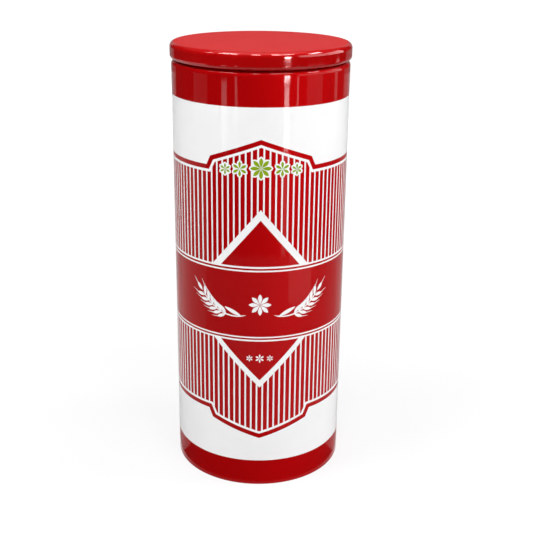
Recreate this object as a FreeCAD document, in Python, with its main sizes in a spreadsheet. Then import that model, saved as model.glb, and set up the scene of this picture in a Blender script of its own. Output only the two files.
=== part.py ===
"""Tall round food canister of lacquered sheet steel with a sealed push-in lid.

Millimetres, +Z up. The origin is the centre of the foot, on the surface that the canister stands on.
Each piece is turned about Z from a section drawn with the radius across and the height up.
The front of the canister faces -Y, and its side seam is at the back.
"""
import FreeCAD, Part
import math
import os
import Sketcher


# Driving dimensions, in millimetres, and two counts
DIMENSIONS = [
    ("body_radius", 55.0, "outside of the tube"),
    ("body_height", 268.3, "foot to the top of the rolled rim"),
    ("body_sheet", 0.5, "sheet of the tube"),
    ("rim_radius", 3.0, "outside radius of the rolled rim"),
    ("rim_tail", 1.2, "straight end of the rolled rim, under its curl"),
    ("seam_lap", 8.0, "width of the side seam's lap"),
    ("seam_margin", 3.0, "lap's distance from the base and from the rim"),
    ("foot_land", 0.3, "flat ring that the canister stands on"),
    ("fold_clearance", 0.05, "gap between the sheets of the bottom fold"),
    ("fold_margin", 0.6, "top of the fold to the pan's corner"),
    ("base_sheet", 0.4, "sheet of the bottom pan"),
    ("base_recess", 6.4, "foot to the top of the pan's outer ring"),
    ("base_corner", 1.5, "outside radius of the pan's corner"),
    ("panel_ring", 9.0, "flat ring round the pan's raised middle"),
    ("panel_slope", 2.0, "width of the step up to the middle"),
    ("panel_rise", 1.2, "height of the step"),
    ("sealant_height", 0.8, "sealing compound in the bottom fold"),
    ("seat_gap", 0.3, "rim to the underside of the closed lid"),
    ("lid_overhang", 0.8, "lid's side beyond the tube"),
    ("lid_height", 10.4, "underside to top of the cap"),
    ("lid_sheet", 0.5, "sheet of the cap"),
    ("lid_top_corner", 3.2, "outside radius of the cap's top edge"),
    ("lid_low_corner", 2.5, "outside radius of the cap's rolled lower edge"),
    ("plug_clearance", 0.1, "gap between the plug and the cap"),
    ("plug_gap", 2.0, "mouth of the rim to the side of the plug"),
    ("plug_shoulder", 2.5, "side of the plug to the cap's rolled edge"),
    ("plug_flange", 0.6, "flange above the cap's lower corner"),
    ("plug_wall", 1.8, "web of the plug and its wall behind the seal"),
    ("plug_skirt", 3.6, "plug below the seal groove"),
    ("plug_lead", 1.5, "rounding of the plug's lower edge"),
    ("hub_radius", 6.0, "boss in the middle of the plug"),
    ("rib_width", 1.6, "ribs under the cap"),
    ("rib_count", 8, "number of ribs"),
    ("groove_depth", 1.8, "seal groove, from the side of the plug"),
    ("seal_clearance", 0.1, "gap between the seal and its groove"),
    ("seal_margin", 0.3, "band of the seal beyond the outer fins"),
    ("seal_stand", 0.3, "band of the seal beyond the side of the plug"),
    ("fin_count", 3, "number of fins on the seal"),
    ("fin_pitch", 2.0, "fin to fin"),
    ("fin_gap", 0.2, "tips of the fins to the mouth of the rim"),
    ("fin_root", 1.1, "height of a fin at the band"),
    ("fin_tip", 0.4, "height of a fin at its tip"),
]

# Turns of an arc in a section, and a coordinate that is zero
LEFT, RIGHT = 1, -1
ZERO = None


class Size:
    """A length that holds its number and the expression that binds it to the sheet."""

    def __init__(self, number, text):
        self.number = number
        self.text = text

    def __add__(self, other):
        return Size(self.number + other.number, f"({self.text} + {other.text})")

    def __sub__(self, other):
        return Size(self.number - other.number, f"({self.text} - {other.text})")

    def __mul__(self, factor):
        return Size(self.number * factor, f"({self.text} * {factor})")

    def __truediv__(self, factor):
        return Size(self.number / factor, f"({self.text} / {factor})")


class Sizes:
    """The dimensions of the sheet, and the places that more than one piece is built on."""

    def __init__(self, sheet):
        for row, (alias, number, note) in enumerate(DIMENSIONS, start=1):
            sheet.set(f"A{row}", note)
            sheet.set(f"B{row}", str(number))
            sheet.setAlias(f"B{row}", alias)
            setattr(self, alias, Size(number, f"{sheet.Name}.{alias}"))
        self.place_fold()
        self.place_rim()
        self.place_lid()
        self.place_seal()

    def place_fold(self):
        """The bottom fold, where the tube's edge turns in and up behind the pan's skirt."""
        self.body_inside = self.body_radius - self.body_sheet
        self.skirt_outside = self.body_inside - self.fold_clearance
        self.skirt_inside = self.skirt_outside - self.base_sheet
        self.fold_outside = self.skirt_inside - self.fold_clearance
        self.fold_inside = self.fold_outside - self.body_sheet
        self.foot_radius = (self.body_radius - self.fold_inside - self.foot_land) / 2
        self.fold_top = self.base_recess - self.base_corner - self.fold_margin
        self.sealant_bottom = self.body_sheet + self.fold_clearance
        self.sealant_top = self.sealant_bottom + self.sealant_height
        self.skirt_bottom = self.sealant_top + self.fold_clearance

    def place_rim(self):
        """The rolled rim and the mouth that it leaves."""
        self.curl_radius = self.body_radius - self.rim_radius
        self.curl_height = self.body_height - self.rim_radius
        self.mouth = self.curl_radius - self.rim_radius

    def place_lid(self):
        """The closed lid, from the rim upwards, and the plug in the mouth."""
        self.lid_radius = self.body_radius + self.lid_overhang
        self.lid_bottom = self.body_height + self.seat_gap
        self.lid_top = self.lid_bottom + self.lid_height
        self.cap_ceiling = self.lid_top - self.lid_sheet
        self.plug_radius = self.mouth - self.plug_gap
        self.plug_bore = self.plug_radius - self.groove_depth - self.plug_wall
        self.plug_web = self.lid_bottom + self.plug_wall
        self.plug_top = self.cap_ceiling - self.plug_clearance
        self.shoulder = self.plug_radius + self.plug_shoulder

    def place_seal(self):
        """The seal, with its top fin level with the narrowest place of the mouth."""
        self.groove_floor = self.plug_radius - self.groove_depth
        fin_reach = self.fin_root / 2 + self.seal_margin
        self.low_fin = self.curl_height - self.fin_pitch * (self.fin_count.number - 1)
        self.groove_top = self.curl_height + fin_reach
        self.groove_bottom = self.low_fin - fin_reach
        self.plug_bottom = self.groove_bottom - self.plug_skirt


def new_body(doc, name):
    body = doc.addObject("PartDesign::Body", name)
    body.Label = name
    return body


def new_sketch(body, name, role="XZ_Plane"):
    """Start a sketch on one of the body's own origin planes."""
    plane = next(item for item in body.Origin.OriginFeatures if item.Role == role)
    sketch = body.newObject("Sketcher::SketchObject", name)
    sketch.AttachmentSupport = (plane, [""])
    sketch.MapMode = "FlatFace"
    return sketch


def bind(sketch, constraint, size):
    """Add a constraint that has a value and bind it to the sheet."""
    index = sketch.addConstraint(constraint)
    sketch.setExpression(f"Constraints[{index}]", size.text)


def hold_coordinate(sketch, kind, edge, end, size):
    """Hold one coordinate of an edge's end at a size, or on the axis where it is zero."""
    origin, root_point = -1, 1
    axis = {"DistanceX": -2, "DistanceY": -1}[kind]
    if size is ZERO:
        sketch.addConstraint(Sketcher.Constraint("PointOnObject", edge, end, axis))
    else:
        bind(sketch, Sketcher.Constraint(kind, origin, root_point, edge, end, size.number), size)


def make_arc(first, last, radius, turn):
    """The arc from first to last, of less than a half turn."""
    chord = last - first
    side = FreeCAD.Vector(-chord.y, chord.x, 0).normalize()
    reach = math.sqrt(radius ** 2 - (chord.Length / 2) ** 2)
    circle = Part.Circle((first + last) / 2 + side * reach * turn, FreeCAD.Vector(0, 0, 1), radius)
    begin, finish = (first, last) if turn == LEFT else (last, first)
    return Part.ArcOfCircle(circle, circle.parameter(begin), circle.parameter(finish))


def draw_section(sketch, outline):
    """Draw a closed outline of (radius, height) steps.

    A step leads to the next by a line, or by an arc if it also gives the arc's radius and turn.
    """
    points = [FreeCAD.Vector(*(size.number if size else 0 for size in step[:2]), 0) for step in outline]
    ends = []
    for step, first, last in zip(outline, points, points[1:] + points[:1]):
        if len(step) == 2:
            sketch.addGeometry(Part.LineSegment(first, last))
            turn = LEFT
        else:
            radius, turn = step[2:]
            sketch.addGeometry(make_arc(first, last, radius.number, turn))
        ends.append((1, 2) if turn == LEFT else (2, 1))
    for edge, step in enumerate(outline):
        following = (edge + 1) % len(outline)
        join = Sketcher.Constraint("Coincident", edge, ends[edge][1], following, ends[following][0])
        sketch.addConstraint(join)
        hold_coordinate(sketch, "DistanceX", edge, ends[edge][0], step[0])
        hold_coordinate(sketch, "DistanceY", edge, ends[edge][0], step[1])
        if len(step) > 2:
            bind(sketch, Sketcher.Constraint("Radius", edge, step[2].number), step[2])


def rectangle(inside, outside, bottom, top):
    return [(inside, bottom), (outside, bottom), (outside, top), (inside, top)]


def turn_section(body, name, outline, kind="PartDesign::Revolution", role="XZ_Plane"):
    """Turn a section once round the upright axis, as a solid or as a groove."""
    sketch = new_sketch(body, f"{name}_section", role)
    draw_section(sketch, outline)
    feature = body.newObject(kind, name)
    feature.Profile = sketch
    feature.ReferenceAxis = (sketch, ["V_Axis"])
    feature.Angle = 360
    return feature


def make_body_shell(doc, size):
    """The tube: one sheet from its folded foot up to its rolled rim, and the lap of its side seam."""
    body = new_body(doc, "body_shell")
    sheet = size.body_sheet
    curl_inside = size.rim_radius - sheet
    tail_end = size.curl_radius + size.rim_tail
    tail_bottom = size.curl_height - size.rim_radius
    foot = size.foot_radius
    outline = [
        (size.body_radius - foot, ZERO, foot, LEFT),
        (size.body_radius, foot),
        (size.body_radius, size.curl_height, size.rim_radius, LEFT),
        (size.curl_radius, size.body_height, size.rim_radius, LEFT),
        (size.mouth, size.curl_height, size.rim_radius, LEFT),
        (size.curl_radius, tail_bottom),
        (tail_end, tail_bottom),
        (tail_end, tail_bottom + sheet),
        (size.curl_radius, tail_bottom + sheet, curl_inside, RIGHT),
        (size.mouth + sheet, size.curl_height, curl_inside, RIGHT),
        (size.curl_radius, size.body_height - sheet, curl_inside, RIGHT),
        (size.body_inside, size.curl_height),
        (size.body_inside, sheet),
        (size.fold_outside, sheet),
        (size.fold_outside, size.fold_top),
        (size.fold_inside, size.fold_top),
        (size.fold_inside, foot, foot, LEFT),
        (size.fold_inside + foot, ZERO),
    ]
    turn_section(body, "rolled_sheet", outline)
    lap_inside = size.body_inside - sheet
    lap_outside = size.body_inside + sheet / 2
    lap_bottom = size.base_recess + size.seam_margin
    lap_top = tail_bottom - size.seam_margin
    lap_section = rectangle(lap_inside, lap_outside, lap_bottom, lap_top)
    lap = turn_section(body, "seam_lap", lap_section, role="YZ_Plane")
    lap.Midplane = True
    lap.setExpression("Angle", f"{size.seam_lap.text} / {size.body_radius.text} * 180 / pi")
    return body


def make_base_pan(doc, size):
    """The drawn bottom: a skirt in the tube's fold, a rounded corner and a raised middle."""
    body = new_body(doc, "base_pan")
    sheet = size.base_sheet
    top = size.base_recess
    corner_radius = size.skirt_outside - size.base_corner
    corner_height = top - size.base_corner
    step_outside = corner_radius - size.panel_ring
    step_inside = step_outside - size.panel_slope
    panel_top = top + size.panel_rise
    outline = [
        (size.skirt_outside, size.skirt_bottom),
        (size.skirt_outside, corner_height, size.base_corner, LEFT),
        (corner_radius, top),
        (step_outside, top),
        (step_inside, panel_top),
        (ZERO, panel_top),
        (ZERO, panel_top - sheet),
        (step_inside, panel_top - sheet),
        (step_outside, top - sheet),
        (corner_radius, top - sheet, size.base_corner - sheet, RIGHT),
        (size.skirt_inside, corner_height),
        (size.skirt_inside, size.skirt_bottom),
    ]
    turn_section(body, "drawn_pan", outline)
    return body


def make_base_sealant(doc, size):
    """The ring of sealing compound under the pan's skirt, in the tube's fold."""
    body = new_body(doc, "base_sealant")
    inside = size.fold_outside + size.fold_clearance
    outside = size.body_inside - size.fold_clearance
    turn_section(body, "ring", rectangle(inside, outside, size.sealant_bottom, size.sealant_top))
    return body


def make_lid_cap(doc, size):
    """The drawn cap: a flat top, rounded edges and a lower edge rolled in under the plug's flange."""
    body = new_body(doc, "lid_cap")
    sheet = size.lid_sheet
    top_corner, low_corner = size.lid_top_corner, size.lid_low_corner
    lip_inside = size.shoulder + size.plug_clearance
    side_top = size.lid_top - top_corner
    side_bottom = size.lid_bottom + low_corner
    low_flat = size.lid_radius - low_corner
    top_flat = size.lid_radius - top_corner
    outline = [
        (lip_inside, size.lid_bottom),
        (low_flat, size.lid_bottom, low_corner, LEFT),
        (size.lid_radius, side_bottom),
        (size.lid_radius, side_top, top_corner, LEFT),
        (top_flat, size.lid_top),
        (ZERO, size.lid_top),
        (ZERO, size.cap_ceiling),
        (top_flat, size.cap_ceiling, top_corner - sheet, RIGHT),
        (size.lid_radius - sheet, side_top),
        (size.lid_radius - sheet, side_bottom, low_corner - sheet, RIGHT),
        (low_flat, size.lid_bottom + sheet),
        (lip_inside, size.lid_bottom + sheet),
    ]
    turn_section(body, "drawn_cap", outline)
    return body


def make_lid_plug(doc, size):
    """The moulded plug: a web and flange held in the cap, and a hollow skirt with the seal's groove."""
    body = new_body(doc, "lid_plug")
    flange_bottom = size.lid_bottom + size.lid_sheet + size.plug_clearance
    flange_corner = size.lid_low_corner - size.lid_sheet - size.plug_clearance
    flange_radius = size.lid_radius - size.lid_sheet - size.plug_clearance
    flange_side = size.lid_bottom + size.lid_low_corner
    flange_top = flange_side + size.plug_flange
    outline = [
        (ZERO, size.lid_bottom),
        (size.plug_bore, size.lid_bottom),
        (size.plug_bore, size.plug_bottom),
        (size.plug_radius - size.plug_lead, size.plug_bottom, size.plug_lead, LEFT),
        (size.plug_radius, size.plug_bottom + size.plug_lead),
        (size.plug_radius, size.lid_bottom),
        (size.shoulder, size.lid_bottom),
        (size.shoulder, flange_bottom),
        (size.lid_radius - size.lid_low_corner, flange_bottom, flange_corner, LEFT),
        (flange_radius, flange_side),
        (flange_radius, flange_top),
        (size.plug_bore, flange_top),
        (size.plug_bore, size.plug_web),
        (size.hub_radius, size.plug_web),
        (size.hub_radius, size.plug_top),
        (ZERO, size.plug_top),
    ]
    blank = turn_section(body, "moulding", outline)
    groove_section = rectangle(size.groove_floor, size.shoulder, size.groove_bottom, size.groove_top)
    groove = turn_section(body, "seal_groove", groove_section, kind="PartDesign::Groove")
    doc.recompute()
    if groove.Shape.Volume >= blank.Shape.Volume:
        raise RuntimeError("the seal groove cuts nothing")
    add_ribs(body, size)
    return body


def add_ribs(body, size):
    """Radial ribs on the web, from the hub to the flange, up to the underside of the cap."""
    sketch = new_sketch(body, "rib_section")
    rib_end = size.plug_radius
    rib_bottom = size.plug_web - size.plug_wall / 2
    draw_section(sketch, rectangle(size.hub_radius / 2, rib_end, rib_bottom, size.plug_top))
    rib = body.newObject("PartDesign::Pad", "rib")
    rib.Profile = sketch
    rib.SideType = "Symmetric"
    rib.setExpression("Length", size.rib_width.text)
    ribs = body.newObject("PartDesign::PolarPattern", "ribs")
    ribs.Originals = [rib]
    ribs.Axis = (sketch, ["V_Axis"])
    ribs.Angle = 360
    ribs.setExpression("Occurrences", size.rib_count.text)
    body.Tip = ribs


def make_lid_seal(doc, size):
    """The silicone ring: a band in the plug's groove, and fins that reach for the mouth."""
    body = new_body(doc, "lid_seal")
    band_inside = size.groove_floor + size.seal_clearance
    band_outside = size.plug_radius + size.seal_stand
    band_bottom = size.groove_bottom + size.seal_clearance
    band_top = size.groove_top - size.seal_clearance
    turn_section(body, "band", rectangle(band_inside, band_outside, band_bottom, band_top))
    fin_end = size.mouth - size.fin_gap
    fin_start = (band_inside + band_outside) / 2
    outline = [
        (fin_start, size.low_fin - size.fin_root / 2),
        (band_outside, size.low_fin - size.fin_root / 2),
        (fin_end, size.low_fin - size.fin_tip / 2),
        (fin_end, size.low_fin + size.fin_tip / 2),
        (band_outside, size.low_fin + size.fin_root / 2),
        (fin_start, size.low_fin + size.fin_root / 2),
    ]
    fin = turn_section(body, "fin", outline)
    fins = body.newObject("PartDesign::LinearPattern", "fins")
    fins.Originals = [fin]
    fins.Direction = (fin.Profile[0], ["V_Axis"])
    fins.Mode = "Spacing"
    fins.setExpression("Offset", size.fin_pitch.text)
    fins.setExpression("Occurrences", size.fin_count.text)
    body.Tip = fins
    return body


def check_model(doc, bodies):
    """Stop if any feature failed or any piece is not one sound solid."""
    for item in doc.Objects:
        if {"Invalid", "Error"} & set(item.State):
            raise RuntimeError(f"{item.Label} failed: {item.State}")
    for body in bodies:
        shape = body.Shape
        if shape.isNull() or not shape.isValid() or len(shape.Solids) != 1:
            raise RuntimeError(f"{body.Label} is not one sound solid")


def main():
    doc = FreeCAD.newDocument("food_canister")
    size = Sizes(doc.addObject("Spreadsheet::Sheet", "Dimensions"))
    doc.recompute()
    makers = [make_body_shell, make_base_pan, make_base_sealant, make_lid_cap, make_lid_plug, make_lid_seal]
    bodies = [make(doc, size) for make in makers]
    doc.recompute()
    check_model(doc, bodies)
    os.makedirs("parts", exist_ok=True)
    for body in bodies:
        body.Shape.exportStep(os.path.join("parts", f"{body.Label}.step"))
        print(f"{body.Label}: {body.Shape.Volume:.0f} mm3")


main()
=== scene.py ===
"""Looks of the food canister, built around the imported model: the printed tube, the lid and its fittings.

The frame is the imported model's: +Z up, the printed front towards -Y, the side seam at +Y.
Sections and prints are written in millimetres and become metres when a piece is made.
A place on the print is a pair: the distance round the tube from the middle of the front, positive to
the right, and the height above the foot.
"""
import math

import bpy
from mathutils import Matrix, Vector


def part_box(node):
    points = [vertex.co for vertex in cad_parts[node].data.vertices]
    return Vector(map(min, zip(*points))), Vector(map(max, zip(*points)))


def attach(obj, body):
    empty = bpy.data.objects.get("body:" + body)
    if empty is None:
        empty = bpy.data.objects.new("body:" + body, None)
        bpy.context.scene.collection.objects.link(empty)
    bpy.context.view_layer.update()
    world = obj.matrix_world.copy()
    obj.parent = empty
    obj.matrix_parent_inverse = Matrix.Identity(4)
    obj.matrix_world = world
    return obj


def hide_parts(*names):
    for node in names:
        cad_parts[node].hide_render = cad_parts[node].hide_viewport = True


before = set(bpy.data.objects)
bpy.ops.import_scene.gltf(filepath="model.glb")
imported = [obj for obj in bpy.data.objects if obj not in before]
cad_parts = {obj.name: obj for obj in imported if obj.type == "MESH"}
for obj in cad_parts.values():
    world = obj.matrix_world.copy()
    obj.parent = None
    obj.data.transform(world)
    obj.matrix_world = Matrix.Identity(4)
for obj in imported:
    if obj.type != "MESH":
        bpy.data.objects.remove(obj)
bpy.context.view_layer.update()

MM = 0.001
LEFT, RIGHT = 1, -1
RED, WHITE, TIN, STRIPES = range(4)

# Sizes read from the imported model
BODY_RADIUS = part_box("body_shell")[1].x / MM
BODY_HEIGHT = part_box("body_shell")[1].z / MM
LID_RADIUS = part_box("lid_cap")[1].x / MM
LID_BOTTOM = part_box("lid_cap")[0].z / MM
LID_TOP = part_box("lid_cap")[1].z / MM
FRONT_TO_SEAM = math.pi * BODY_RADIUS

# Section of the tube
SHEET = 0.5
RIM_RADIUS = 3.0
RIM_TAIL = 1.2
FOOT_RADIUS = 0.6
FOLD_INSIDE = 53.5
FOLD_OUTSIDE = 54.0
FOLD_TOP = 4.3
SEAM_HALF_WIDTH = 0.3
SEAM_DEPTH = 0.15
SEAM_FADE = 1.0
LAP_WIDTH = 8.0
LAP_BOTTOM = 9.4
LAP_TOP = 259.3
LAP_COLUMNS = 6

# Section of the lid's cap
LID_SHEET = 0.5
LID_TOP_CORNER = 3.2
LID_LOW_CORNER = 2.5
LIP_INSIDE = 49.6

# Print: bands, frames, triangles and stripes
LOW_BAND_TOP = 18.0
HIGH_BAND_BOTTOM = 248.1
HIGH_FRAME = [(0.0, 229.5), (31.6, 218.2), (34.3, 212.7), (FRONT_TO_SEAM, 212.7)]
LOW_FRAME = [(0.0, 34.6), (31.6, 45.5), (34.4, 51.4), (FRONT_TO_SEAM, 51.4)]
FRAME_LINE = 2.8
LOW_FRAME_LINE = 3.0
FRAME_GAP = 1.55
MIDDLE_BAND = (105.7, 148.4)
LOW_LINES = (102.6, 103.7, 104.8)
HIGH_LINES = (149.4, 150.6, 151.75)
HIGH_TRIANGLE = ((30.2, 187.5), (24.7, 181.0))
LOW_TRIANGLE = ((29.7, 70.9), (25.2, 75.9))
STRIPE_COUNT = 96
WHITE_SHARE = 0.28

# Ornaments of the print: rosettes as (distance, height, petals, petal length), and a pair of wheat ears
PRINT_SINK = 0.02
BORDER_LIFT = 0.03
PRINT_LIFT = 0.06
BORDER = 0.8
GREEN_ROSETTES = [(0.0, 212.6, 8, 6.4), (12.6, 212.0, 6, 4.6), (21.6, 211.4, 6, 3.4)]
WHITE_ROSETTE = (0.0, 127.0, 8, 7.0)
SMALL_ROSETTES = [(0.0, 91.0, 6, 2.9), (6.4, 91.0, 6, 2.2)]
PETAL_WIDTH = 0.36
PETAL_GAP = 0.15
PETAL_TIP = 1.4
PETAL_ROUNDING = 0.9
BORDER_ROUNDING = 0.6
FULL_WIDTH_COUNT = 8
STEM = [(8.5, 120.0), (24.0, 115.0), (38.5, 131.5)]
STEM_WIDTH = 0.8
KERNEL_SPOTS = [0.42, 0.52, 0.62, 0.72, 0.82, 0.92]
KERNEL_LENGTH = 6.2
KERNEL_WIDTH = 2.1
KERNEL_LEAN = math.radians(38)
KERNEL_GAP = 0.5
AWN_LENGTH = 5.0
AWN_WIDTH = 0.5
LEAF_SPOT = 0.1
LEAF_LENGTH = 12.0
LEAF_WIDTH = 2.4
LEAF_LEAN = math.radians(36)
SPINDLE_ROUNDING = 0.8

# Fineness of the meshes
ARC_STEP = math.radians(7.5)
LID_COLUMNS = 256
STROKE_STEPS = 10
MERGE = 1e-3


def add_object(name, data):
    """Put an object with its mesh, lamp or camera into the scene."""
    made = bpy.data.objects.new(name, data)
    bpy.context.scene.collection.objects.link(made)
    return made


class Surface:
    """Faces gathered for one piece, in millimetres, each corner with its normal."""

    def __init__(self):
        self.numbers = {}
        self.places = []
        self.faces = []
        self.normals = []
        self.finishes = []

    def number(self, place):
        """The number of the point at a place: faces that meet there share it."""
        key = tuple(round(value / MERGE) for value in place)
        if key not in self.numbers:
            self.numbers[key] = len(self.places)
            self.places.append(place)
        return self.numbers[key]

    def add(self, corners, finish=0):
        """Add a face from (place, normal) corners, anticlockwise as seen from outside."""
        numbers = [self.number(place) for place, normal in corners]
        kept = [index for index, number in enumerate(numbers) if number != numbers[index - 1]]
        if len(kept) > 2:
            self.faces.append([numbers[index] for index in kept])
            self.normals.extend(corners[index][1] for index in kept)
            self.finishes.append(finish)

    def make(self, name, materials, body, slot):
        """Turn the faces into a piece that rides on a body."""
        mesh = bpy.data.meshes.new(name)
        mesh.from_pydata([Vector(place) * MM for place in self.places], [], self.faces)
        for material in materials:
            mesh.materials.append(material)
        mesh.polygons.foreach_set("material_index", self.finishes)
        mesh.polygons.foreach_set("use_smooth", [True] * len(self.faces))
        mesh.normals_split_custom_set(self.normals)
        piece = add_object(name, mesh)
        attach(piece, body)
        return piece


def around(angle, radius, height):
    """A place at an angle from the front, to the right, a radius and a height."""
    return (radius * math.sin(angle), -radius * math.cos(angle), height)


def line_steps(first, last):
    """The one step of a straight line, with the normal on the right of the way along it."""
    across, up = last[0] - first[0], last[1] - first[1]
    length = math.hypot(across, up)
    normal = (up / length, -across / length)
    return [((first, normal), (last, normal))]


def arc_steps(first, last, radius, turn):
    """The steps of an arc of less than a half turn, with the normal on the right of the way along it."""
    across, up = last[0] - first[0], last[1] - first[1]
    chord = math.hypot(across, up)
    reach = turn * math.sqrt(max(radius ** 2 - chord ** 2 / 4, 0.0)) / chord
    centre = ((first[0] + last[0]) / 2 - up * reach, (first[1] + last[1]) / 2 + across * reach)
    start = math.atan2(first[1] - centre[1], first[0] - centre[0])
    sweep = turn * 2 * math.asin(min(chord / 2 / radius, 1.0))
    count = math.ceil(abs(sweep) / ARC_STEP)
    ends = []
    for index in range(count + 1):
        angle = start + sweep * index / count
        out = (math.cos(angle), math.sin(angle))
        place = (centre[0] + radius * out[0], centre[1] + radius * out[1])
        ends.append((place, (turn * out[0], turn * out[1])))
    return list(zip(ends, ends[1:]))


def section_steps(outline):
    """Steps of an outline of (radius, height, finish) points, which runs anticlockwise in the section.

    A point leads to the next by a line, or by an arc if it also gives the arc's radius and turn.
    """
    steps = []
    for point, following in zip(outline, outline[1:]):
        first, last = point[:2], following[:2]
        made = line_steps(first, last) if len(point) == 3 else arc_steps(first, last, *point[3:])
        steps.extend((step, point[2]) for step in made)
    return steps


def spin(surface, outline, columns):
    """Turn an outline about the upright axis, from column to column."""
    for step, finish in section_steps(outline):
        (low, low_normal), (high, high_normal) = step
        for left, right in zip(columns, columns[1:]):
            corners = [
                (around(left, *low), around(left, *low_normal)),
                (around(right, *low), around(right, *low_normal)),
                (around(right, *high), around(right, *high_normal)),
                (around(left, *high), around(left, *high_normal)),
            ]
            surface.add(corners, finish)


# Layout of the print
def height_at(points, distance):
    """Height of a chain of straight runs at a distance from the middle of the front."""
    distance = abs(distance)
    for (start, low), (end, high) in zip(points, points[1:]):
        if distance <= end:
            return low + (high - low) * (distance - start) / (end - start)
    return points[-1][1]


def shifted(points, shift):
    """The same chain moved up by a shift square to each of its runs, and mitred at its corners."""
    slopes = [(high - low) / (end - start) for (start, low), (end, high) in zip(points, points[1:])]
    rises = [shift * math.hypot(1, slope) for slope in slopes]
    moved = [(0.0, points[0][1] + rises[0])]
    for index in range(1, len(slopes)):
        corner, height = points[index]
        before, after = slopes[index - 1], slopes[index]
        step = (rises[index - 1] - rises[index]) / (after - before)
        moved.append((corner + step, height + rises[index - 1] + before * step))
    moved.append((points[-1][0], points[-1][1] + rises[-1]))
    return moved


def triangle(base, apex, foot):
    """Chain of a triangle that stands or hangs on the height foot."""
    return [(0.0, apex), (base, foot), (FRONT_TO_SEAM, foot)]


def level(height):
    """Chain of an edge that runs level all the way round."""
    return [(0.0, height), (FRONT_TO_SEAM, height)]


def print_layers():
    """The print from foot to rim: the finish of each layer, and the chain of its upper edge."""
    wall_top = BODY_HEIGHT - RIM_RADIUS
    high_stripes, low_stripes = FRAME_LINE + FRAME_GAP, LOW_FRAME_LINE + FRAME_GAP
    low_outer, low_inner = (triangle(base, apex, LOW_LINES[0]) for base, apex in LOW_TRIANGLE)
    high_outer, high_inner = (triangle(base, apex, HIGH_LINES[2]) for base, apex in HIGH_TRIANGLE)
    return [
        (RED, level(FOOT_RADIUS + SEAM_FADE)),
        (RED, level(LOW_BAND_TOP)),
        (WHITE, LOW_FRAME),
        (RED, shifted(LOW_FRAME, LOW_FRAME_LINE)),
        (WHITE, shifted(LOW_FRAME, low_stripes)),
        (STRIPES, low_outer),
        (WHITE, low_inner),
        (RED, level(LOW_LINES[0])),
        (WHITE, level(LOW_LINES[1])),
        (RED, level(LOW_LINES[2])),
        (WHITE, level(MIDDLE_BAND[0])),
        (RED, level(MIDDLE_BAND[1])),
        (WHITE, level(HIGH_LINES[0])),
        (RED, level(HIGH_LINES[1])),
        (WHITE, level(HIGH_LINES[2])),
        (RED, high_inner),
        (WHITE, high_outer),
        (STRIPES, shifted(HIGH_FRAME, -high_stripes)),
        (WHITE, shifted(HIGH_FRAME, -FRAME_LINE)),
        (RED, HIGH_FRAME),
        (WHITE, level(HIGH_BAND_BOTTOM)),
        (RED, level(wall_top - SEAM_FADE)),
        (RED, level(wall_top)),
    ]


def in_white_stripe(angle):
    """Whether an angle from the front is on a white stripe: a red one is in the middle of the front."""
    pitch = 2 * math.pi / STRIPE_COUNT
    offset = abs(angle) / pitch % 1
    return abs(offset - 0.5) < WHITE_SHARE / 2


def print_columns(layers):
    """Angles at which the print's stripes, corners and seam need an edge."""
    pitch = 2 * math.pi / STRIPE_COUNT
    angles = {0.0, math.pi, math.pi - SEAM_HALF_WIDTH / BODY_RADIUS}
    for index in range(STRIPE_COUNT // 2):
        centre = (index + 0.5) * pitch
        angles.update([centre - pitch * WHITE_SHARE / 2, centre + pitch * WHITE_SHARE / 2])
    for finish, chain in layers:
        angles.update(distance / BODY_RADIUS for distance, height in chain)
    kept = []
    for angle in sorted(angles):
        if not kept or angle - kept[-1] > MERGE / 2:
            kept.append(angle)
    return [-angle for angle in reversed(kept[1:])] + kept


def print_wall(surface, layers, columns):
    """The outside of the tube, one face for each layer of the print in each column."""
    ends = (FOOT_RADIUS, BODY_HEIGHT - RIM_RADIUS)
    tilt = math.atan2(SEAM_DEPTH, SEAM_HALF_WIDTH)

    def place(angle, height):
        on_seam = abs(angle) == columns[-1] and ends[0] < height < ends[1]
        return around(angle, BODY_RADIUS - SEAM_DEPTH * on_seam, height)

    for left, right in zip(columns, columns[1:]):
        lean = tilt * ((right == columns[-1]) - (left == columns[0]))
        heights = [(ends[0], ends[0])]
        for finish, chain in layers:
            heights.append(tuple(height_at(chain, angle * BODY_RADIUS) for angle in (left, right)))
        striped = WHITE if in_white_stripe((left + right) / 2) else RED
        for (finish, chain), low, high in zip(layers, heights, heights[1:]):
            corners = [
                (place(left, low[0]), around(left + lean, 1, 0)),
                (place(right, low[1]), around(right + lean, 1, 0)),
                (place(right, high[1]), around(right + lean, 1, 0)),
                (place(left, high[0]), around(left + lean, 1, 0)),
            ]
            surface.add(corners, striped if finish == STRIPES else finish)


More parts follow.
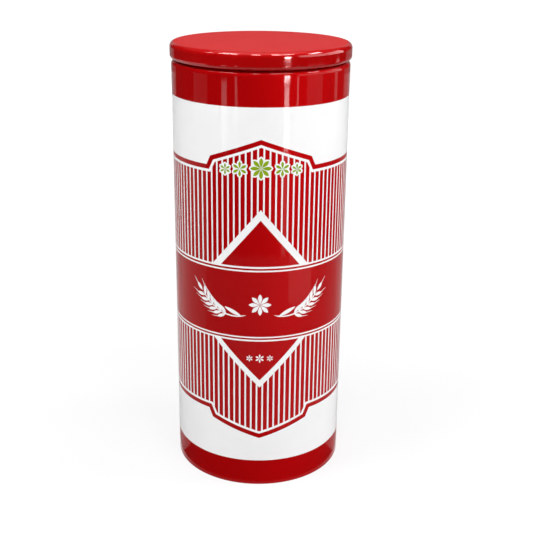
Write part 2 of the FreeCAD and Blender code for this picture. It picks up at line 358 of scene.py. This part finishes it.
# Ornaments
def stroke(surface, path, width, lift):
    """A thin closed ribbon on the tube along a path of (distance, height) points.

    The width is a function of the share of the way along and is nothing at both ends. The ribbon is
    three points wide.
    """
    rows = []
    for index, (distance, height) in enumerate(path):
        before, after = path[max(index - 1, 0)], path[min(index + 1, len(path) - 1)]
        run, rise = after[0] - before[0], after[1] - before[1]
        length = math.hypot(run, rise)
        aside = (-rise / length, run / length)
        half = width(index / (len(path) - 1)) / 2
        row = [(distance + aside[0] * half * side, height + aside[1] * half * side) for side in (-1, 0, 1)]
        rows.append((row, aside))

    def corner(point, radius, facing):
        return around(point[0] / BODY_RADIUS, radius, point[1]), around(point[0] / BODY_RADIUS, facing, 0)

    def wall_corner(point, radius, aside, side):
        angle = point[0] / BODY_RADIUS
        out = (aside[0] * math.cos(angle) * side, aside[0] * math.sin(angle) * side, aside[1] * side)
        return around(angle, radius, point[1]), out

    high, low = BODY_RADIUS + lift, BODY_RADIUS - PRINT_SINK
    for (row, aside), (following, turned) in zip(rows, rows[1:]):
        for near in (0, 1):
            patch = [row[near], following[near], following[near + 1], row[near + 1]]
            surface.add([corner(point, high, 1) for point in patch])
            surface.add([corner(point, low, -1) for point in reversed(patch)])
        for side in (-1, 1):
            first, last = row[1 + side], following[1 + side]
            wall = [
                wall_corner(first, low, aside, side),
                wall_corner(last, low, turned, side),
                wall_corner(last, high, turned, side),
                wall_corner(first, high, aside, side),
            ]
            surface.add(wall[::-side])


def straight(start, angle, length):
    """A straight path from a start at an angle from the way round the tube."""
    shares = [index / STROKE_STEPS for index in range(STROKE_STEPS + 1)]
    reach = (length * math.cos(angle), length * math.sin(angle))
    return [(start[0] + reach[0] * share, start[1] + reach[1] * share) for share in shares]


def bend(points, share):
    """The place, and the direction as an angle, at a share of the way along a quadratic curve."""
    first, middle, last = points
    rest = 1 - share
    axes = list(zip(first, middle, last))
    place = tuple(rest * rest * a + 2 * rest * share * b + share * share * c for a, b, c in axes)
    run, rise = (rest * (b - a) + share * (c - b) for a, b, c in axes)
    return place, math.atan2(rise, run)


def rosette(surface, place, petals, length, lift, border=0.0):
    """Petals round a point, each widest near its tip, with a border round them if one is given."""
    full = PETAL_WIDTH * length * min(1.0, FULL_WIDTH_COUNT / petals) + 2 * border
    rounding = BORDER_ROUNDING if border else PETAL_ROUNDING

    def width(share):
        return full * math.sin(math.pi * share ** PETAL_TIP) ** rounding

    for index in range(petals):
        angle = math.pi / 2 + 2 * math.pi * index / petals
        start = straight(place, angle, PETAL_GAP)[-1]
        stroke(surface, straight(start, angle, length + border - PETAL_GAP), width, lift)


def spindle(width):
    """Width of a stroke that is pointed at both ends and has its full width half-way."""
    return lambda share: width * math.sin(math.pi * share) ** SPINDLE_ROUNDING


def wheat_ear(surface, side):
    """A wheat ear on one side of the front: its stem, a leaf, and kernels in pairs with their awns."""
    stem = [(side * distance, height) for distance, height in STEM]
    shares = [index / STROKE_STEPS for index in range(STROKE_STEPS + 1)]
    path = [bend(stem, share)[0] for share in shares]
    stroke(surface, path, lambda share: STEM_WIDTH * (0 < share < 1), PRINT_LIFT)
    place, direction = bend(stem, LEAF_SPOT)
    leaf = straight(place, direction + side * LEAF_LEAN, LEAF_LENGTH)
    stroke(surface, leaf, spindle(LEAF_WIDTH), PRINT_LIFT)
    kernels = [(spot, lean) for spot in KERNEL_SPOTS for lean in (-KERNEL_LEAN, KERNEL_LEAN)]
    for spot, lean in kernels + [(1.0, 0.0)]:
        place, direction = bend(stem, spot)
        start = straight(place, direction + lean, KERNEL_GAP)[-1]
        path = straight(start, direction + lean, KERNEL_LENGTH)
        stroke(surface, path, spindle(KERNEL_WIDTH), PRINT_LIFT)
        awn = straight(path[-2], direction + lean / 2, AWN_LENGTH)
        stroke(surface, awn, lambda share: AWN_WIDTH * (1 - share) * (share > 0), PRINT_LIFT)


def both_sides(places):
    """Each place of the list, and its mirror image where it isn't in the middle."""
    for distance, height, petals, length in places:
        for side in (1, -1) if distance else (1,):
            yield (side * distance, height), petals, length


# Pieces
def make_ornaments(white, green):
    """The printed ornaments: thin layers of colour on the tube."""
    border, leaves, figures = Surface(), Surface(), Surface()
    for place, petals, length in both_sides(GREEN_ROSETTES):
        rosette(border, place, petals, length, BORDER_LIFT, BORDER)
        rosette(leaves, place, petals, length, PRINT_LIFT)
    for place, petals, length in both_sides([WHITE_ROSETTE] + SMALL_ROSETTES):
        rosette(figures, place, petals, length, PRINT_LIFT)
    wheat_ear(figures, 1)
    wheat_ear(figures, -1)
    border.make("print_border", [white], "canister", "lacquered_steel")
    leaves.make("print_rosettes", [green], "canister", "lacquered_steel")
    figures.make("print_wheat", [white], "canister", "lacquered_steel")


def make_lap(tin):
    """The inner lap of the tube's side seam, at the back."""
    half = LAP_WIDTH / 2 / BODY_RADIUS
    inside = BODY_RADIUS - SHEET
    columns = [math.pi + half * (2 * index / LAP_COLUMNS - 1) for index in range(LAP_COLUMNS + 1)]
    outline = [
        (inside, LAP_TOP, 0),
        (inside - SHEET, LAP_TOP, 0),
        (inside - SHEET, LAP_BOTTOM, 0),
        (inside, LAP_BOTTOM, 0),
        (inside, LAP_TOP, 0),
    ]
    surface = Surface()
    spin(surface, outline, columns)
    for angle, side in ((columns[0], -1), (columns[-1], 1)):
        facing = (side * math.cos(angle), side * math.sin(angle), 0)
        edge = [(around(angle, radius, height), facing) for radius, height, finish in outline[:-1]]
        surface.add(edge[::-side])
    surface.make("seam_lap", [tin], "canister", "lacquered_steel")


def make_tube(red, white, tin):
    """The printed tube with its rolled rim and folded foot, in place of its CAD solid."""
    curl, curl_height = BODY_RADIUS - RIM_RADIUS, BODY_HEIGHT - RIM_RADIUS
    mouth, inside, roll = curl - RIM_RADIUS, BODY_RADIUS - SHEET, RIM_RADIUS - SHEET
    tail, tail_bottom = curl + RIM_TAIL, curl_height - RIM_RADIUS
    outline = [
        (BODY_RADIUS, curl_height, RED, RIM_RADIUS, LEFT),
        (curl, BODY_HEIGHT, RED, RIM_RADIUS, LEFT),
        (mouth, curl_height, RED, RIM_RADIUS, LEFT),
        (curl, tail_bottom, RED),
        (tail, tail_bottom, TIN),
        (tail, tail_bottom + SHEET, TIN),
        (curl, tail_bottom + SHEET, TIN, roll, RIGHT),
        (mouth + SHEET, curl_height, TIN, roll, RIGHT),
        (curl, BODY_HEIGHT - SHEET, TIN, roll, RIGHT),
        (inside, curl_height, TIN),
        (inside, SHEET, TIN),
        (FOLD_OUTSIDE, SHEET, TIN),
        (FOLD_OUTSIDE, FOLD_TOP, TIN),
        (FOLD_INSIDE, FOLD_TOP, RED),
        (FOLD_INSIDE, FOOT_RADIUS, RED, FOOT_RADIUS, LEFT),
        (FOLD_INSIDE + FOOT_RADIUS, 0.0, RED),
        (BODY_RADIUS - FOOT_RADIUS, 0.0, RED, FOOT_RADIUS, LEFT),
        (BODY_RADIUS, FOOT_RADIUS, RED),
    ]
    layers = print_layers()
    columns = print_columns(layers)
    surface = Surface()
    print_wall(surface, layers, columns)
    spin(surface, outline, columns)
    tube = surface.make("printed_tube", [red, white, tin], "canister", "lacquered_steel")
    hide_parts("body_shell")


def make_lid(red, tin):
    """The drawn cap of the lid, in place of its CAD solid."""
    ceiling, inside = LID_TOP - LID_SHEET, LID_RADIUS - LID_SHEET
    top_flat, low_flat = LID_RADIUS - LID_TOP_CORNER, LID_RADIUS - LID_LOW_CORNER
    side_top, side_bottom = LID_TOP - LID_TOP_CORNER, LID_BOTTOM + LID_LOW_CORNER
    outline = [
        (0.0, ceiling, TIN),
        (top_flat, ceiling, TIN, LID_TOP_CORNER - LID_SHEET, RIGHT),
        (inside, side_top, TIN),
        (inside, side_bottom, TIN, LID_LOW_CORNER - LID_SHEET, RIGHT),
        (low_flat, LID_BOTTOM + LID_SHEET, TIN),
        (LIP_INSIDE, LID_BOTTOM + LID_SHEET, RED),
        (LIP_INSIDE, LID_BOTTOM, RED),
        (low_flat, LID_BOTTOM, RED, LID_LOW_CORNER, LEFT),
        (LID_RADIUS, side_bottom, RED),
        (LID_RADIUS, side_top, RED, LID_TOP_CORNER, LEFT),
        (top_flat, LID_TOP, RED),
        (0.0, LID_TOP, RED),
    ]
    columns = [2 * math.pi * index / LID_COLUMNS for index in range(LID_COLUMNS + 1)]
    surface = Surface()
    spin(surface, outline, columns)
    lid = surface.make("lid_shell", [red, red, tin], "lid", "lacquered_steel")
    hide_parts("lid_cap")


# Lacquers and inks: their colours, gloss and unevenness, and the share that a specular level of 1 mirrors
RED_INK = (0.36, 0.0012, 0.002)
WHITE_INK = (0.88, 0.88, 0.885)
GREEN_INK = (0.24, 0.36, 0.012)
LID_RED = (0.38, 0.0015, 0.002)
PRINT_SPECULAR = 0.1
LID_SPECULAR = 0.45
INK_METAL = 0.19
LID_METAL = 0.06
GLOSS = (0.03, 0.06)
INK_ROUGHNESS = (0.6, 0.7)
COLOUR_SPREAD = 0.04
COLOUR_GRAIN = 35
GLOSS_GRAIN = 400
RIPPLE_GRAIN = 120
RIPPLE_STRENGTH = 0.05
RIPPLE_DEPTH = 0.0002
FULL_SPECULAR = 0.08
WORN_FROM = 0.93
WORN_ROUGHNESS = 0.66

# Bare sheet and mouldings
TIN_DARK = (0.61, 0.61, 0.62)
TIN_LIGHT = (0.71, 0.71, 0.72)
TIN_ROUGHNESS = (0.22, 0.36)
TIN_METAL = 0.6
TIN_GRAIN = 1500
TIN_GRAIN_DETAIL = 4
TIN_GRAIN_STRETCH = (1, 1, 0.02)
MOULDING_CLOUDS = 60
MOULDING_GRAIN = 2500
MOULDING_SPREAD = 0.05
MOULDING_STRENGTH = 0.1
MOULDING_DEPTH = 0.00005
SEAL_SCATTER = 0.3
SEAL_SCATTER_DEPTH = 0.002

# Colours of the mouldings, darkest and lightest, and their roughness
PLUG_PLASTIC = ((0.78, 0.77, 0.73), (0.84, 0.83, 0.8), 0.4)
SEAL_SILICONE = ((0.7, 0.7, 0.69), (0.78, 0.78, 0.77), 0.35)
SEALING_COMPOUND = ((0.3, 0.3, 0.28), (0.42, 0.42, 0.4), 0.7)


def new_material(name):
    """A material with one shader, and the object's own coordinates for its textures."""
    material = bpy.data.materials.new(name)
    material.use_nodes = True
    nodes, links = material.node_tree.nodes, material.node_tree.links
    shader = nodes["Principled BSDF"]
    places = nodes.new("ShaderNodeTexCoord").outputs["Object"]
    return material, nodes, links, shader, places


def add_noise(nodes, links, places, scale, detail=2.0):
    """Fine clouds of a scale, as a value from 0 to 1."""
    noise = nodes.new("ShaderNodeTexNoise")
    noise.inputs["Scale"].default_value = scale
    noise.inputs["Detail"].default_value = detail
    links.new(places, noise.inputs["Vector"])
    return noise.outputs["Fac"]


def vary_colour(nodes, links, amount, shader, dark, light):
    """Let the colour run from dark to light with an amount."""
    mix = nodes.new("ShaderNodeMix")
    mix.data_type = "RGBA"
    mix.inputs["A"].default_value = (*dark, 1)
    mix.inputs["B"].default_value = (*light, 1)
    links.new(amount, mix.inputs["Factor"])
    links.new(mix.outputs["Result"], shader.inputs["Base Color"])


def vary_roughness(nodes, links, amount, shader, low, high):
    """Let the roughness run from low to high with an amount."""
    spread = nodes.new("ShaderNodeMapRange")
    spread.inputs["To Min"].default_value = low
    spread.inputs["To Max"].default_value = high
    links.new(amount, spread.inputs["Value"])
    links.new(spread.outputs["Result"], shader.inputs["Roughness"])


def add_bump(nodes, links, height, shader, strength, distance):
    """Ripple the surface by a height, without moving it."""
    bump = nodes.new("ShaderNodeBump")
    bump.inputs["Strength"].default_value = strength
    bump.inputs["Distance"].default_value = distance
    links.new(height, bump.inputs["Height"])
    links.new(bump.outputs["Normal"], shader.inputs["Normal"])


def lacquer(name, colour, specular, metal=0.0, roughness=GLOSS):
    """Glossy lacquer: a faint unevenness of colour and gloss, and the soft ripple of a sprayed coat.

    A clear colour lets some of the bright metal under it shine through.
    """
    material, nodes, links, shader, places = new_material(name)
    dark = [value * (1 - COLOUR_SPREAD) for value in colour]
    light = [min(value * (1 + COLOUR_SPREAD), 1.0) for value in colour]
    vary_colour(nodes, links, add_noise(nodes, links, places, COLOUR_GRAIN), shader, dark, light)
    vary_roughness(nodes, links, add_noise(nodes, links, places, GLOSS_GRAIN), shader, *roughness)
    ripple = add_noise(nodes, links, places, RIPPLE_GRAIN)
    add_bump(nodes, links, ripple, shader, RIPPLE_STRENGTH, RIPPLE_DEPTH)
    shader.inputs["Specular IOR Level"].default_value = specular
    shader.inputs["Metallic"].default_value = metal
    return material


def clear_ink(name, colour, specular, metal):
    """Clear ink under glossy lacquer: the sheet below shines through it as a soft glow of its colour.

    The lacquer is the shader's coat, and mirrors as much as a specular level does without one.
    """
    material = lacquer(name, colour, 0.0, metal, INK_ROUGHNESS)
    shader = material.node_tree.nodes["Principled BSDF"]
    ripple = shader.inputs["Normal"].links[0].from_socket
    material.node_tree.links.new(ripple, shader.inputs["Coat Normal"])
    mirrored = math.sqrt(FULL_SPECULAR * specular)
    shader.inputs["Coat Weight"].default_value = 1.0
    shader.inputs["Coat Roughness"].default_value = sum(GLOSS) / 2
    shader.inputs["Coat IOR"].default_value = (1 + mirrored) / (1 - mirrored)
    return material


def worn_on_top(material):
    """Make the faces that look up satin, as hands and stacking leave them."""
    nodes, links = material.node_tree.nodes, material.node_tree.links
    shader = nodes["Principled BSDF"]
    upward = nodes.new("ShaderNodeSeparateXYZ")
    links.new(nodes.new("ShaderNodeNewGeometry").outputs["Normal"], upward.inputs["Vector"])
    amount = nodes.new("ShaderNodeMapRange")
    amount.inputs["From Min"].default_value = WORN_FROM
    amount.inputs["From Max"].default_value = 1.0
    amount.inputs["To Max"].default_value = WORN_ROUGHNESS
    links.new(upward.outputs["Z"], amount.inputs["Value"])
    total = nodes.new("ShaderNodeMath")
    links.new(shader.inputs["Roughness"].links[0].from_socket, total.inputs[0])
    links.new(amount.outputs["Result"], total.inputs[1])
    links.new(total.outputs["Value"], shader.inputs["Roughness"])


def tinplate(name):
    """Bare bright sheet with the grain of its rolling."""
    material, nodes, links, shader, places = new_material(name)
    grain = nodes.new("ShaderNodeMapping")
    grain.inputs["Scale"].default_value = TIN_GRAIN_STRETCH
    links.new(places, grain.inputs["Vector"])
    streaks = add_noise(nodes, links, grain.outputs["Vector"], TIN_GRAIN, TIN_GRAIN_DETAIL)
    vary_colour(nodes, links, streaks, shader, TIN_DARK, TIN_LIGHT)
    vary_roughness(nodes, links, streaks, shader, *TIN_ROUGHNESS)
    shader.inputs["Metallic"].default_value = TIN_METAL
    return material


def moulding(name, dark, light, roughness):
    """Moulded plastic or rubber with a fine matt texture."""
    material, nodes, links, shader, places = new_material(name)
    vary_colour(nodes, links, add_noise(nodes, links, places, MOULDING_CLOUDS), shader, dark, light)
    fine = add_noise(nodes, links, places, MOULDING_GRAIN)
    vary_roughness(nodes, links, fine, shader, roughness - MOULDING_SPREAD, roughness + MOULDING_SPREAD)
    add_bump(nodes, links, fine, shader, MOULDING_STRENGTH, MOULDING_DEPTH)
    return material


def dress_fittings(tin):
    """Give the CAD nodes that stay in view their finishes."""
    plastic = moulding("plug_plastic", *PLUG_PLASTIC)
    silicone = moulding("seal_silicone", *SEAL_SILICONE)
    scatter = silicone.node_tree.nodes["Principled BSDF"].inputs
    scatter["Subsurface Weight"].default_value = SEAL_SCATTER
    scatter["Subsurface Scale"].default_value = SEAL_SCATTER_DEPTH
    compound = moulding("sealing_compound", *SEALING_COMPOUND)
    finishes = {"base_pan": tin, "base_sealant": compound, "lid_plug": plastic, "lid_seal": silicone}
    for node, material in finishes.items():
        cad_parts[node].material_slots[0].material = material


# Stage, light and camera
FLOOR_HALF = 8.0
FLOOR_NEAR = 0.1
FLOOR_FAR = 0.8
FLOOR_SHADE = 0.55
FLOOR_SHADOW = 0.14
FLOOR_GLOW = (0.8, 1.0)
WHITE_LIGHT = (1, 1, 1, 1)
WORLD_LIGHT = 0.13
BACKDROP_TOP = math.radians(17)
CEILING_START = math.radians(30)
CAMERA_DISTANCE = 0.5964
CAMERA_HEIGHT = 0.3499
CAMERA_AZIMUTH = math.radians(-0.6)
CAMERA_PITCH = math.radians(20.06)
CAMERA_YAW = math.radians(-0.452)
CAMERA_ROLL = math.radians(0.576)
LENS = 64.68
SENSOR = 36.0


def larger(nodes, links, first, second):
    """The larger of two values."""
    either = nodes.new("ShaderNodeMath")
    either.operation = "MAXIMUM"
    links.new(first, either.inputs[0])
    links.new(second, either.inputs[1])
    return either.outputs["Value"]


def seen_directly(nodes, links):
    """1 for the rays of the camera and for those that mirror or pass on its view."""
    path = nodes.new("ShaderNodeLightPath").outputs
    mirrored = larger(nodes, links, path["Is Camera Ray"], path["Is Glossy Ray"])
    return larger(nodes, links, mirrored, path["Is Transmission Ray"])


def grey(shade):
    """A grey colour of a shade from 0 to 1."""
    return (shade, shade, shade, 1)


def make_floor():
    """A pale floor that looks white further out, and keeps a faint shadow round the object."""
    mesh = bpy.data.meshes.new("floor")
    reach = (-FLOOR_HALF, FLOOR_HALF)
    mesh.from_pydata([(x, y, 0) for y in reach for x in reach], [], [(0, 1, 3, 2)])
    floor = add_object("floor", mesh)
    material = bpy.data.materials.new("floor")
    material.use_nodes = True
    nodes, links = material.node_tree.nodes, material.node_tree.links
    nodes.remove(nodes["Principled BSDF"])
    plain = nodes.new("ShaderNodeBsdfDiffuse")
    plain.inputs["Color"].default_value = grey(FLOOR_SHADE)
    faint = nodes.new("ShaderNodeBsdfDiffuse")
    faint.inputs["Color"].default_value = grey(FLOOR_SHADOW)
    away = nodes.new("ShaderNodeVectorMath")
    away.operation = "LENGTH"
    links.new(nodes.new("ShaderNodeTexCoord").outputs["Object"], away.inputs[0])
    whiteness = nodes.new("ShaderNodeMapRange")
    whiteness.inputs["From Min"].default_value = FLOOR_NEAR
    whiteness.inputs["From Max"].default_value = FLOOR_FAR
    whiteness.inputs["To Min"].default_value = FLOOR_GLOW[0]
    whiteness.inputs["To Max"].default_value = FLOOR_GLOW[1]
    links.new(away.outputs["Value"], whiteness.inputs["Value"])
    glow = nodes.new("ShaderNodeEmission")
    links.new(whiteness.outputs["Result"], glow.inputs["Strength"])
    white = nodes.new("ShaderNodeAddShader")
    links.new(faint.outputs["BSDF"], white.inputs[0])
    links.new(glow.outputs["Emission"], white.inputs[1])
    mix = nodes.new("ShaderNodeMixShader")
    links.new(seen_directly(nodes, links), mix.inputs["Fac"])
    links.new(plain.outputs["BSDF"], mix.inputs[1])
    links.new(white.outputs["Shader"], mix.inputs[2])
    links.new(mix.outputs["Shader"], nodes["Material Output"].inputs["Surface"])
    mesh.materials.append(material)


def make_world():
    """Faint even light, and a white backdrop whose mirror image ends in a dark ceiling."""
    world = bpy.data.worlds.new("studio")
    world.use_nodes = True
    nodes, links = world.node_tree.nodes, world.node_tree.links
    plain = nodes["Background"]
    plain.inputs["Color"].default_value = WHITE_LIGHT
    plain.inputs["Strength"].default_value = WORLD_LIGHT
    upward = nodes.new("ShaderNodeSeparateXYZ")
    links.new(nodes.new("ShaderNodeTexCoord").outputs["Generated"], upward.inputs["Vector"])
    whiteness = nodes.new("ShaderNodeMapRange")
    whiteness.inputs["From Min"].default_value = math.sin(BACKDROP_TOP)
    whiteness.inputs["From Max"].default_value = math.sin(CEILING_START)
    whiteness.inputs["To Min"].default_value = 1.0
    whiteness.inputs["To Max"].default_value = WORLD_LIGHT
    links.new(upward.outputs["Z"], whiteness.inputs["Value"])
    backdrop = nodes.new("ShaderNodeBackground")
    backdrop.inputs["Color"].default_value = WHITE_LIGHT
    by_camera = nodes.new("ShaderNodeLightPath").outputs["Is Camera Ray"]
    strength = larger(nodes, links, whiteness.outputs["Result"], by_camera)
    links.new(strength, backdrop.inputs["Strength"])
    mix = nodes.new("ShaderNodeMixShader")
    links.new(seen_directly(nodes, links), mix.inputs["Fac"])
    links.new(plain.outputs["Background"], mix.inputs[1])
    links.new(backdrop.outputs["Background"], mix.inputs[2])
    links.new(mix.outputs["Shader"], nodes["World Output"].inputs["Surface"])
    bpy.context.scene.world = world


def make_lamp(name, place, target, width, height, radiance):
    """A rectangular lamp of a given radiance that faces a target."""
    light = bpy.data.lights.new(name, "AREA")
    light.shape = "RECTANGLE"
    light.size = width
    light.size_y = height
    light.energy = radiance * math.pi * width * height
    lamp = add_object(name, light)
    lamp.location = place
    lamp.rotation_euler = (Vector(target) - Vector(place)).to_track_quat("-Z", "Y").to_euler()
    lamp.visible_camera = False
    return lamp


# Upright lamps that only leave mirror images, the streaks: azimuth, distance, width, bottom, top, radiance
STRIPS = [
    (31.5, 1.0, 0.13, 0.158, 0.42, 90),
    (31.5, 1.0, 0.13, 0.144, 0.158, 14),
    (31.5, 1.0, 0.13, 0.122, 0.128, 6),
    (31.5, 1.0, 0.13, 0.1155, 0.122, 200),
    (31.5, 1.0, 0.13, 0.110, 0.1155, 40),
    (31.5, 1.0, 0.10, 0.0, 0.102, 33),
    (45.5, 1.0, 0.04, 0.0, 0.12, 8),
    (-46.0, 1.0, 0.12, 0.0, 0.11, 6.5),
    (-30.5, 1.0, 0.05, 0.0, 0.12, 6),
    (-81.0, 1.0, 0.40, 0.0, 0.125, 0.7),
    (70.0, 1.0, 0.42, 0.0, 0.13, 1.2),
    (108.0, 1.0, 0.11, 0.0, 0.14, 1.5),
    (30.0, 0.7, 0.07, 0.0, 0.09, 2.5),
    (29.0, 0.5, 0.05, 0.0, 0.06, 2.5),
    (52.0, 0.35, 0.20, 0.0, 0.05, 1.6),
]
# Wider lamps of the same kind and columns, which make the red ink glow on the right
GLOWS = [
    (66.0, 1.0, 0.70, 0.19, 0.80, 3.5),
    (104.0, 1.0, 0.60, 0.20, 0.80, 3.5),
]
# Lamps above, whose mirror images run along the lid's edge: azimuth, elevation, width, depth, radiance
CEILING = [
    (-84.0, 45.0, 0.15, 0.20, 12),
    (-61.0, 57.0, 0.40, 0.25, 28),
    (-9.0, 57.0, 0.17, 0.25, 28),
    (26.0, 57.0, 0.18, 0.25, 28),
    (47.5, 57.0, 0.28, 0.12, 28),
    (87.0, 44.0, 0.35, 0.14, 40),
]
CEILING_DISTANCE = 1.2
# Soft fills that leave no mirror image: name, azimuth, distance, height, width and radiance
FILLS = [
    ("fill_front", 24.0, 1.5, 0.2, 0.8, 2.7),
    ("fill_left", -95.0, 1.5, 0.3, 0.8, 1.7),
    ("fill_right", 80.0, 1.5, 0.3, 0.8, 1.4),
    ("fill_back", 180.0, 1.5, 0.3, 1.2, 2.5),
]
FILL_DEPTH = 0.6
FILL_TARGET = (0.0, 0.0, 0.1)
OVERHEAD = 1.6
OVERHEAD_WIDTH = 1.4
OVERHEAD_LIGHT = 1.0
# Cards that only show in mirror images: name, first and last azimuth, (radius, height) of two edges, shade
CARDS = [
    ("card_upright", (-138, 130), (1.4, 0.0), (1.4, 0.22), 0.01),
    ("card_tall", (-152, 152), (1.4, 0.22), (1.4, 1.1), 0.01),
    ("card_near", (-75, 75), (0.057, 0.001), (0.12, 0.001), 0.01),
    ("card_aside", (75, 285), (0.057, 0.001), (0.12, 0.001), 0.45),
    ("card_front", (-72, 122), (0.12, 0.001), (0.28, 0.001), 0.55),
    ("card_middle", (-72, 122), (0.28, 0.001), (0.5, 0.001), 0.35),
    ("card_far", (-72, 122), (0.5, 0.001), (1.4, 0.001), 0.01),
    ("card_back_right", (122, 180), (0.12, 0.001), (1.4, 0.001), 0.45),
    ("card_back_left", (180, 235), (0.12, 0.001), (1.4, 0.001), 0.6),
    ("card_behind", (130, 222), (1.4, 0.0), (1.4, 0.05), 0.6),
    ("card_high", (130, 230), (1.41, 0.05), (1.41, 1.1), 0.3),
]
CARD_COLUMNS = 48


def make_card(name, span, first, last, shade):
    """A card bent round the object that darkens its mirror images between the lamps."""
    start, end = (math.radians(azimuth) for azimuth in span)
    angles = [start + (end - start) * index / CARD_COLUMNS for index in range(CARD_COLUMNS + 1)]
    places = [around(angle, *point) for angle in angles for point in (first, last)]
    faces = [(2 * index, 2 * index + 1, 2 * index + 3, 2 * index + 2) for index in range(CARD_COLUMNS)]
    mesh = bpy.data.meshes.new(name)
    mesh.from_pydata(places, [], faces)
    card = add_object(name, mesh)
    card.visible_camera = False
    card.visible_diffuse = False
    card.visible_shadow = False
    material = bpy.data.materials.new(name)
    material.use_nodes = True
    shader = material.node_tree.nodes["Principled BSDF"]
    shader.inputs["Base Color"].default_value = grey(shade)
    shader.inputs["Roughness"].default_value = 1.0
    mesh.materials.append(material)


def light_scene():
    """Set up the lamps of the lists above, and a soft one overhead."""
    for index, (azimuth, distance, width, bottom, top, radiance) in enumerate(STRIPS + GLOWS):
        height = (bottom + top) / 2
        place = around(math.radians(azimuth), distance, height)
        strip = make_lamp(f"strip_{index}", place, (0, 0, height), width, top - bottom, radiance)
        strip.visible_diffuse = False
    lid_top = LID_TOP * MM
    for index, (azimuth, elevation, width, depth, radiance) in enumerate(CEILING):
        reach = CEILING_DISTANCE * math.cos(math.radians(elevation))
        height = lid_top + CEILING_DISTANCE * math.sin(math.radians(elevation))
        place = around(math.radians(azimuth), reach, height)
        make_lamp(f"ceiling_{index}", place, (0, 0, lid_top), width, depth, radiance)
    for name, azimuth, distance, height, width, radiance in FILLS:
        place = around(math.radians(azimuth), distance, height)
        make_lamp(name, place, FILL_TARGET, width, FILL_DEPTH, radiance).visible_glossy = False
    make_lamp("overhead", (0, 0, OVERHEAD), (0, 0, 0), OVERHEAD_WIDTH, OVERHEAD_WIDTH, OVERHEAD_LIGHT)


def place_camera():
    """Put the camera where the photograph was taken from."""
    camera = bpy.data.cameras.new("camera")
    camera.lens = LENS
    camera.sensor_width = SENSOR
    holder = add_object("camera", camera)
    place = Matrix.Translation(around(CAMERA_AZIMUTH, CAMERA_DISTANCE, CAMERA_HEIGHT))
    turn = Matrix.Rotation(CAMERA_AZIMUTH + CAMERA_YAW, 4, "Z")
    nod = Matrix.Rotation(math.pi / 2 - CAMERA_PITCH, 4, "X")
    holder.matrix_world = place @ turn @ nod @ Matrix.Rotation(CAMERA_ROLL, 4, "Z")
    bpy.context.scene.camera = holder


def main():
    """Make the finishes, the pieces, the studio round them and its light."""
    red = clear_ink("red_print", RED_INK, PRINT_SPECULAR, INK_METAL)
    white = lacquer("white_print", WHITE_INK, PRINT_SPECULAR)
    green = lacquer("green_print", GREEN_INK, PRINT_SPECULAR)
    lid_red = lacquer("lid_lacquer", LID_RED, LID_SPECULAR, LID_METAL)
    worn_on_top(lid_red)
    tin = tinplate("tinplate")
    make_tube(red, white, tin)
    make_ornaments(white, green)
    make_lap(tin)
    make_lid(lid_red, tin)
    dress_fittings(tin)
    make_floor()
    make_world()
    for card in CARDS:
        make_card(*card)
    light_scene()
    place_camera()
    bpy.context.scene.view_settings.view_transform = "Standard"


main()
